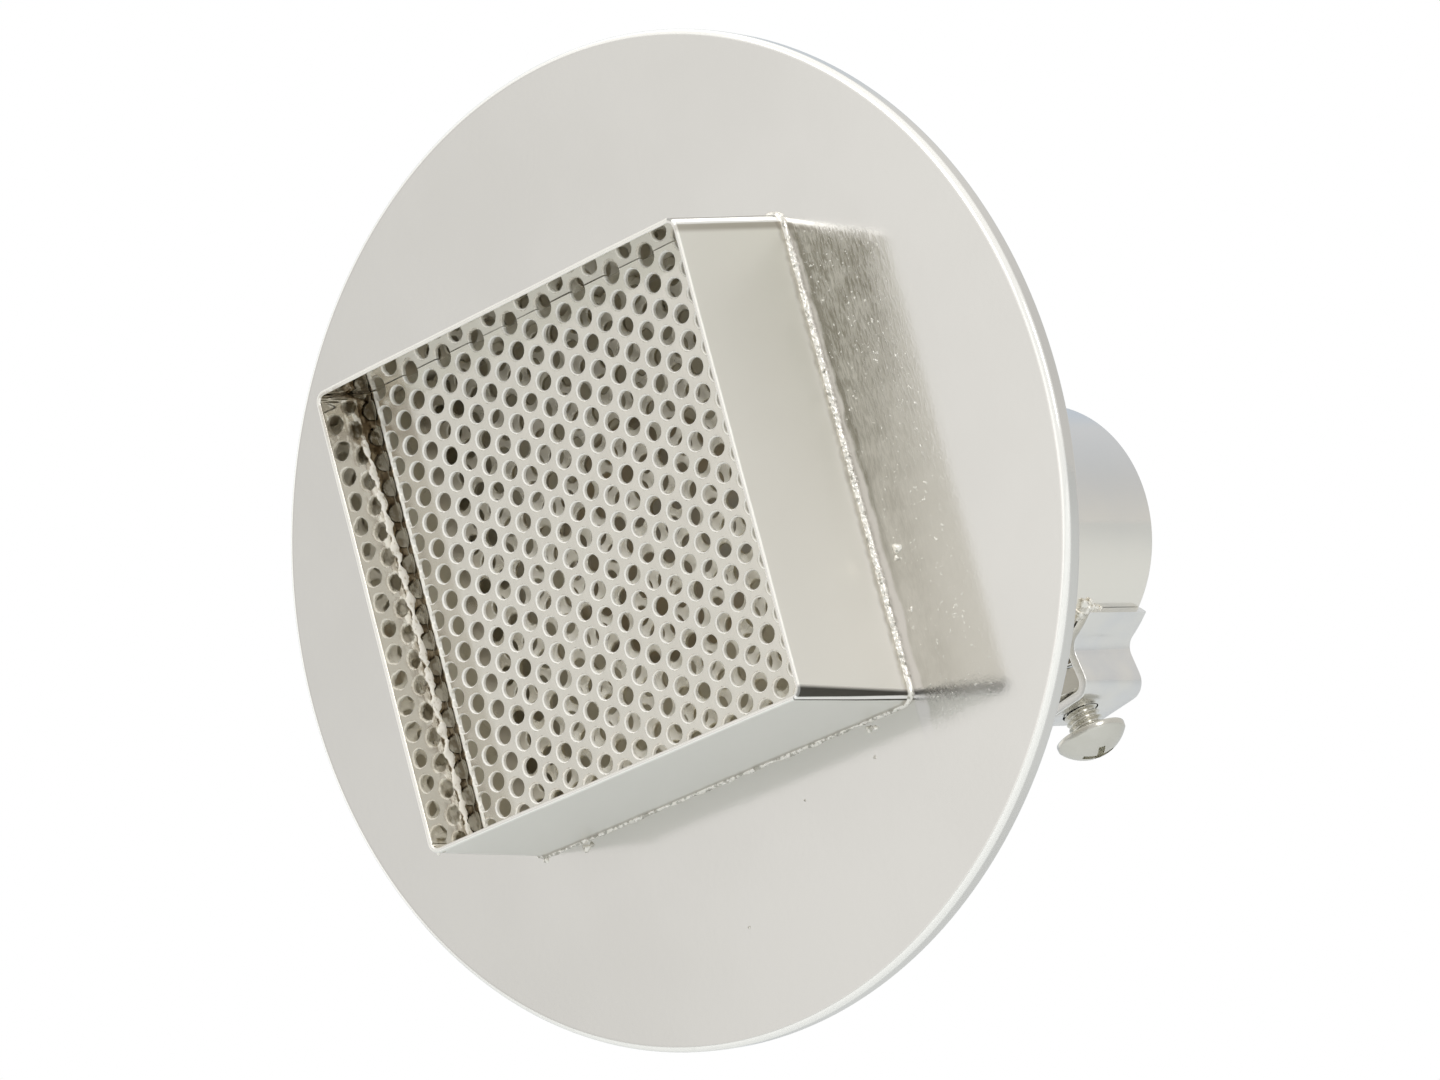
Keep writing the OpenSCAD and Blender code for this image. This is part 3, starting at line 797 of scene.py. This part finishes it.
# Clamp bridge: a strip of 0.8 mm steel bent to an omega, its feet curved to the tube and brazed on at the
# open end. The raised middle holds the nut and has a hole for the screw.
strip_t, strip_edge_r = 0.8, 0.14
foot_r, foot_end = 11.55, 33.0
bridge_w, bridge_half = 7.8, 3.7
bridge_hole_r = 1.6
valley_r = 1.4
shoulder_r, shoulder_y = 1.6, 14.5316
strip_colour = (0.87, 0.855, 0.82, 1)
strip_cloud_colour = (0.80, 0.80, 0.80, 1)

# The strip's rounded section, by the depth under its outer face, is carried along half the omega: an arc on
# the tube, the valley's and the shoulder's, and a last point that keeps the top flat.
strip_round = np.concatenate([
    arc((strip_edge_r, strip_edge_r), strip_edge_r, 180, 270, 4),
    arc((strip_t - strip_edge_r, strip_edge_r), strip_edge_r, 270, 360, 4)])
strip_depth, strip_along = mirrored(strip_round, (1, -1), (0, bridge_w)).T
valley_x, valley_reach = bridge_half + valley_r, foot_r + strip_t + valley_r
valley_y = np.sqrt(valley_reach ** 2 - valley_x ** 2)
foot_start = np.degrees(np.arcsin(valley_x / valley_reach))
shoulder_x = bridge_half - shoulder_r
strip = np.concatenate([
    arc((0, 0), foot_r + strip_t - strip_depth, 90 - foot_end, 90 - foot_start - 0.3, 6),
    arc((valley_x, valley_y), valley_r + strip_depth, 270 - foot_start, 180, 10),
    arc((shoulder_x, shoulder_y), shoulder_r - strip_depth, 0, 90, 12),
    arc((shoulder_x - by_edge, shoulder_y), shoulder_r - strip_depth, 90, 90, 0)])
strip = np.insert(mirrored(strip, (-1, 1)), 2, strip_along, 2)
bridge = make_piece("clamp_bridge_strip", under_tube(capped(strip)))
drill(bridge, bridge_hole_r, start=14, depth=3)

strip_metal, shader, place = new_metal("nickel strip")
cloud = place.noise(220.0, 3.0)
cloud.ramp(0.35, 0.65).mix(strip_cloud_colour, strip_colour).to(shader["Base Color"])
(0.16 + cloud * 0.14).to(shader["Roughness"])
(place.noise(520.0) + place.noise(2400.0) * 0.2).bump(0.5, 0.06).to(shader["Normal"])
bridge.data.materials.append(strip_metal)
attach(bridge, "nozzle")
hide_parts("clamp_bridge")


# Drops of braze: a cluster of small lumps at the front corner of each foot of the bridge, where the braze
# ran over the strip's end to the tube. Each has its distances past the strip's end and forward of its edge,
# and its radius.
drop_lumps = ((0.0, -0.10, 0.58), (0.42, 0.30, 0.40), (-0.50, 0.20, 0.42), (0.10, -0.85, 0.38),
              (0.60, -0.45, 0.28), (0.05, -1.50, 0.26), (0.0, -2.20, 0.17), (-0.95, 0.15, 0.26))
drop_rows, drop_columns = 14, 20
drop_lift, drop_sunk = 0.1, 0.15


def braze_drop(side, past_end, forward, radius, seed):
    """A lumpy ball on the tube: a sphere with an uneven radius, past the strip's end and forward of its edge,
    whose points inside the tube's wall are brought out to just under its face."""
    polar, turn, points = ball(drop_rows, drop_columns)
    waves = 0.14 * np.sin(polar) * np.sin(3 * turn + seed) + 0.08 * np.sin(5 * polar + seed)
    size = radius * (0.95 + waves)[..., None]
    lean = np.radians(90 - foot_end) - past_end / foot_r
    out = foot_r + drop_lift
    centre = np.array([side * out * np.cos(lean), out * np.sin(lean), bridge_w + forward])
    points = centre + size * points @ np.array([[np.sin(lean), -side * np.cos(lean), 0],
                                                [side * np.cos(lean), np.sin(lean), 0], [0, 0, 1]])
    off_axis = np.hypot(points[..., 0], points[..., 1])
    points[..., :2] *= (np.maximum(off_axis, tube_r - drop_sunk) / off_axis)[..., None]
    return under_tube(points)


drops = [braze_drop(side, *drop, 1.9 * i + side) for side in (1, -1) for i, drop in enumerate(drop_lumps)]
drops = make_piece("bridge_braze_drops", *drops)
drops.data.materials.append(braze_metal)
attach(drops, "nozzle")
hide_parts("bridge_braze")


# Clamp nut: a hexagon M3 nut of nickel plated steel under the bridge, its corners bevelled on both faces. It
# lies loose between the bridge's risers, which keep it from turning.
nut_af, nut_h, nut_face_r = 5.5, 2.4, 2.4
nut_bore_r, nut_bore_edge = 1.55, 0.2
nut_bevel = np.pi / 6
nut_seat = 15.2
nut_columns = 72
fastener_colour = (0.78, 0.76, 0.70, 1)
fastener_dark_colour = (0.66, 0.64, 0.575, 1)

turn = np.linspace(0, 2 * np.pi, nut_columns, endpoint=False)
hexagon = nut_af / 2 / np.cos((turn + np.pi / 6) % (np.pi / 3) - np.pi / 6)
nut_rows = [(nut_face_r, 0)]
for height in (0.1, 0.2, 0.3, 0.45, 1.2, nut_h - 0.45, nut_h - 0.3, nut_h - 0.2, nut_h - 0.1):
    cone = nut_face_r + min(height, nut_h - height) / np.tan(nut_bevel)
    nut_rows.append((np.minimum(hexagon, cone), height))
nut_rows += [(nut_face_r, nut_h), (nut_bore_r + nut_bore_edge, nut_h), (nut_bore_r, nut_h - nut_bore_edge),
             (nut_bore_r, nut_bore_edge), (nut_bore_r + nut_bore_edge, 0)]
nut_grid = on_screw(nut_rows, nut_columns, nut_seat - nut_h)
nut = make_piece("clamp_nut_hexagon", nut_grid, closed=True, sharp=25)

nut_metal, shader, place = new_metal("nickel nut")
cloud = place.noise(600.0, 3.0)
cloud.mix(fastener_dark_colour, fastener_colour).to(shader["Base Color"])
(0.16 + cloud * 0.12).to(shader["Roughness"])
place.noise(1500.0).bump(0.4, 0.04).to(shader["Normal"])
nut.data.materials.append(nut_metal)
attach(nut, "nozzle")
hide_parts("clamp_nut")


# Clamp screw: an M3 pan head screw of nickel plated steel with a rolled thread and a pressed cross recess,
# loosened so that its head stands off the bridge. It turns in the nut and presses on the heater's pipe.
head_r, head_h, head_edge_r, dome_r = 3.0, 2.1, 0.15, 3.6
recess_l, recess_w, recess_depth = 2.8, 0.6, 1.2
recess_turn = np.radians(35)
thread_r, thread_depth, thread_pitch = 1.5, 0.31, 0.5
crest_share, flank_share = 0.12, 0.63
neck = (1.2, -0.02)
tip_bevel = 0.5
screw_len, screw_levels, screw_columns = 6.0, 142, 72
head_seat = 18.1316
recess_colour = (0.62, 0.60, 0.50, 1)

# The head is a dome over a rounded edge. The thread's groove climbs with the turn, between flat crests.
dome_edge = np.degrees(np.arccos(head_r / dome_r))
head_edge = arc((head_r - head_edge_r, head_edge_r), head_edge_r, 270, 360, 4)
head_dome = arc((0, head_h - dome_r), dome_r, dome_edge + 1, 90, 16)
head_rows = [neck, (head_r - 2 * head_edge_r, 0), *head_edge, *head_dome[:-1], (0, head_h)]
turn = np.linspace(0, 2 * np.pi, screw_columns, endpoint=False)
thread_rows = [neck]
for height in np.linspace(-0.1, -screw_len, screw_levels):
    phase = (height / thread_pitch - turn / (2 * np.pi)) % 1
    groove = np.clip((np.abs(phase - 0.5) * 2 - crest_share) / flank_share, 0, 1)
    radius = thread_r - thread_depth * groove * np.clip(-height / thread_pitch, 0.4, 1)
    thread_rows.append((np.minimum(radius, thread_r - tip_bevel + (height + screw_len)), height))
thread_rows.append((0, -screw_len))
screw_grids = [on_screw(rows, screw_columns, head_seat) for rows in (head_rows, thread_rows)]
screw = make_piece("clamp_screw_m3", *screw_grids, sharp=30)

# Each wing of the recess is a flat wedge through the screw's axis, cut out of the head.
wing = np.array([[-recess_l / 2, head_h + 0.5], [-recess_l / 2, head_h - recess_depth / 2],
                 [-recess_w / 2, head_h - recess_depth]])
wing = mirrored(wing, (-1, 1))
wing = np.stack([np.insert(wing, 2, side * recess_w / 2, 1) for side in (-1, 1)])
length, rise, width = np.moveaxis(capped(wing), -1, 0)
for wing_turn in (recess_turn, recess_turn + np.pi / 2):
    across = length * np.cos(wing_turn) - width * np.sin(wing_turn)
    along = length * np.sin(wing_turn) + width * np.cos(wing_turn)
    cross = under_tube(np.stack([across, head_seat + rise, screw_along - along], -1))
    cut_out(screw, make_piece("cross", cross, sharp=20))

# The recess is dull: it is what lies under the dome, above the head's edge and near the axis. The distance
# off the axis is squared.
screw_metal, shader, place = new_metal("nickel screw")
cloud = place.noise(600.0, 3.0)
across, height = place.axis("X"), place.axis("Z")
sideways = across * np.cos(clamp_lean) + height * np.sin(clamp_lean)
rise = height * np.cos(clamp_lean) - across * np.sin(clamp_lean) - head_seat / 1000
forth = place.axis("Y") + screw_along / 1000
off_axis = sideways * sideways + forth * forth
dome = place.math("SQRT", (dome_r / 1000) ** 2 - off_axis) + (head_h - dome_r) / 1000
recess = (dome - rise).ramp_mm(0.10, 0.25) * rise.ramp_mm(0.3, 0.6) * (1 - off_axis.ramp(2.2e-6, 2.5e-6))
plain = cloud.mix(fastener_dark_colour, fastener_colour)
recess.mix(plain, recess_colour).to(shader["Base Color"])
(1 - recess * 0.7).to(shader["Metallic"])
(0.16 + cloud * 0.12).to(shader["Roughness"])
place.noise(1500.0).bump(0.4, 0.04).to(shader["Normal"])
screw.data.materials.append(screw_metal)
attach(screw, "screw")
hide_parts("clamp_screw")


# Studio: a pale room with a pale floor well below the part, which its pipe would hold up. The light is soft
# and comes from all round, most from the front and the left, with three softboxes. The backdrop is white.
camera_turn, camera_rise, camera_roll = np.radians([38.38822524, -12.2817548, -14.90907225])
camera_place = np.array([302.603, -424.150, -106.020])
camera_lens, camera_sensor = 157.584, 36
floor_z, floor_half = -0.16, 4
floor_colour = (0.75, 0.77, 0.775, 1)
room_level = 0.67
room_colour, cool_colour, white = (1.0, 0.995, 0.975, 1), (0.88, 0.94, 1.0, 1), (1, 1, 1, 1)
lamps = (("front", (0.02, -0.80, 0.62), 0.60, 2.4), ("top", (-0.25, 0.10, 0.95), 0.5, 0.5),
         ("side", (0.95, -0.25, 0.22), 0.35, 1.3))
lamp_target = np.array([0, -0.05, 0])


def stand(thing, *pose):
    """Puts a camera or a lamp in the scene by its right, up and backward directions and its place."""
    matrix = np.eye(4)
    matrix[:3] = np.stack(pose, 1)
    thing.matrix_world = Matrix(matrix.tolist())
    bpy.context.scene.collection.objects.link(thing)


backward = np.array([np.sin(camera_turn) * np.cos(camera_rise), -np.cos(camera_turn) * np.cos(camera_rise),
                     np.sin(camera_rise)])
level_right = np.array([np.cos(camera_turn), np.sin(camera_turn), 0])
upright = np.cross(backward, level_right)
right = np.cos(camera_roll) * level_right + np.sin(camera_roll) * upright
up = np.cos(camera_roll) * upright - np.sin(camera_roll) * level_right
camera = bpy.data.objects.new("camera", bpy.data.cameras.new("camera"))
camera.data.lens = camera_lens
camera.data.sensor_width = camera_sensor
camera.data.clip_start = 0.01
stand(camera, right, up, backward, camera_place / 1000)
bpy.context.scene.camera = camera
bpy.context.scene.view_settings.view_transform = "Standard"

world = bpy.data.worlds.new("white room")
world.use_nodes = True
bpy.context.scene.world = world
tree = world.node_tree
way = Socket(tree).add("ShaderNodeTexCoord", out="Generated")
to_x, to_y, to_z = way.axis("X"), way.axis("Y"), way.axis("Z")


def lobe(direction, start, end):
    """1 round a direction and 0 away from it, between two cosines of the angle to it."""
    direction = np.array(direction) / np.linalg.norm(direction)
    return (to_x * direction[0] + to_y * direction[1] + to_z * direction[2]).ramp(start, end)


front_left = lobe((-0.21, -0.97, 0.12), 0.80, 1.0)
left_back = lobe((-0.75, 0.60, 0.45), 0.70, 0.90)
left_light = lobe((-0.97, -0.10, 0.20), 0.90, 0.98)
backdrop = lobe(-backward, 0.9755, 0.9870)
level = room_level + front_left * 0.41 + to_z.ramp(0.2, 1.0) * 0.2 + left_light * 0.4
level = level + (1 - level) * backdrop
tint = backdrop.mix(left_back.mix(room_colour, cool_colour), white)
sky = way.add("ShaderNodeBackground", (), {"Color": tint, "Strength": level})
sky.to(tree.nodes["World Output"].inputs["Surface"])

for name, lamp_place, size, power in lamps:
    lamp = bpy.data.objects.new(name, bpy.data.lights.new(name, "AREA"))
    lamp.data.size = size
    lamp.data.energy = power
    away = np.array(lamp_place) - lamp_target
    away = away / np.linalg.norm(away)
    sideways = np.cross([0, 0, 1], away)
    sideways = sideways / np.linalg.norm(sideways)
    stand(lamp, sideways, np.cross(away, sideways), away, lamp_place)

floor_mesh = bpy.data.meshes.new("floor")
floor_corners = [(x * floor_half, y * floor_half, floor_z) for x, y in ((-1, -1), (1, -1), (1, 1), (-1, 1))]
floor_mesh.from_pydata(floor_corners, [], [(0, 1, 2, 3)])
floor = bpy.data.objects.new("floor", floor_mesh)
bpy.context.scene.collection.objects.link(floor)
floor_paint = bpy.data.materials.new("pale floor")
floor_paint.use_nodes = True
paint = floor_paint.node_tree.nodes["Principled BSDF"].inputs
paint["Base Color"].default_value = floor_colour
paint["Roughness"].default_value = 0.7
floor.data.materials.append(floor_paint)
